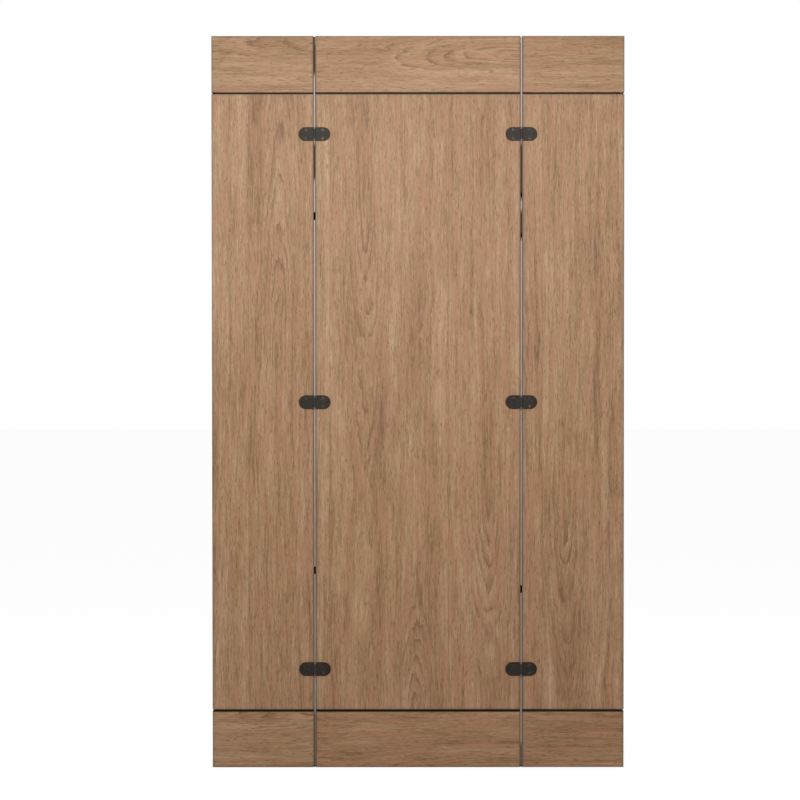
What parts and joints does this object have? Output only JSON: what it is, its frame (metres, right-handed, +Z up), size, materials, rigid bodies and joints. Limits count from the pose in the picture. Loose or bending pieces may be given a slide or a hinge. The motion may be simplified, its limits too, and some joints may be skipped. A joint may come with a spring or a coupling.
{
  "type": "armoire",
  "caption": "Tall wooden armoire whose hinged face folds: a fixed hanging case with drawers, and two shelved wings that swing back on plate hinges to open the front.",
  "frame": {"origin": "on the floor, under the middle of the whole box", "axes": "+Z up, -Y out of the hinged three-leaf face, +Y out of the two doors' fronts, +X to the right seen from the hinged face"},
  "size_m": [1.143, 0.5824, 2.032],
  "materials": {
    "face_wood": "satin, medium brown straight-grained veneer, lightly brushed",
    "inner_wood": "satin, plain",
    "dark_core": "matt, stained almost black",
    "dark_metal": "oil-rubbed, mottled",
    "screw_metal": "darkened, worn shiny on the heads",
    "seam_seal": "matt, pale grey",
    "glide_plastic": "matt",
    "rod_metal": "satin, dark bronze"
  },
  "bodies": {
    "case": {"case_back_board": "face_wood", "case_top_band": "face_wood", "case_bottom_band": "face_wood", "case_back_core": "dark_core", "case_left_side": "inner_wood", "case_right_side": "inner_wood", "case_top": "inner_wood", "case_bottom": "inner_wood", "case_shelf": "inner_wood", "drawer_runners": "inner_wood", "hanging_rod": "rod_metal", "rod_sockets": "dark_metal", "case_glides": "glide_plastic", "case_hinge_leaves": "dark_metal", "hinge_pins": "dark_metal", "case_screws": "screw_metal"},
    "drawer_1": {"drawer_1_front": "face_wood", "drawer_1_box": "inner_wood", "drawer_1_knobs": "dark_metal"},
    "drawer_2": {"drawer_2_front": "face_wood", "drawer_2_box": "inner_wood", "drawer_2_knobs": "dark_metal"},
    "drawer_3": {"drawer_3_front": "face_wood", "drawer_3_box": "inner_wood", "drawer_3_knobs": "dark_metal"},
    "left_wing": {"left_back_board": "face_wood", "left_back_bands": "face_wood", "left_side_board": "face_wood", "left_side_bands": "face_wood", "left_front_board": "face_wood", "left_front_bands": "face_wood", "left_core_panels": "dark_core", "left_top_cap": "inner_wood", "left_bottom_cap": "inner_wood", "left_upper_shelf": "inner_wood", "left_lower_shelf": "inner_wood", "left_hinge_leaves": "dark_metal", "left_screws": "screw_metal", "left_seam_seal": "seam_seal", "left_pull_plate": "dark_metal", "left_glides": "glide_plastic"},
    "left_pull": {"left_pull_bail": "dark_metal"},
    "right_wing": {"right_back_board": "face_wood", "right_back_bands": "face_wood", "right_side_board": "face_wood", "right_side_bands": "face_wood", "right_front_board": "face_wood", "right_front_bands": "face_wood", "right_core_panels": "dark_core", "right_top_cap": "inner_wood", "right_bottom_cap": "inner_wood", "right_upper_shelf": "inner_wood", "right_lower_shelf": "inner_wood", "right_hinge_leaves": "dark_metal", "right_screws": "screw_metal", "right_seam_seal": "seam_seal", "right_pull_plate": "dark_metal", "right_glides": "glide_plastic"},
    "right_pull": {"right_pull_bail": "dark_metal"}
  },
  "joints": [
    {"name": "drawer_1_slide", "type": "slide", "parent": "case", "child": "drawer_1", "axis": [0, 1, 0], "range_m": [0, 0.165]},
    {"name": "drawer_2_slide", "type": "slide", "parent": "case", "child": "drawer_2", "axis": [0, 1, 0], "range_m": [0, 0.165]},
    {"name": "drawer_3_slide", "type": "slide", "parent": "case", "child": "drawer_3", "axis": [0, 1, 0], "range_m": [0, 0.165]},
    {"name": "left_wing_swing", "type": "hinge", "parent": "case", "child": "left_wing", "pos_m": [-0.2865, -0.2882, 1.019], "axis": [0, 0, 1], "range_deg": [0, 120]},
    {"name": "right_wing_swing", "type": "hinge", "parent": "case", "child": "right_wing", "pos_m": [0.2865, -0.2882, 1.019], "axis": [0, 0, -1], "range_deg": [0, 120]},
    {"name": "left_pull_swing", "type": "hinge", "parent": "left_wing", "child": "left_pull", "pos_m": [-0.058, 0.2862, 1.043], "axis": [1, 0, 0], "range_deg": [0, 90]},
    {"name": "right_pull_swing", "type": "hinge", "parent": "right_wing", "child": "right_pull", "pos_m": [0.058, 0.2862, 1.043], "axis": [1, 0, 0], "range_deg": [0, 90]}
  ]
}
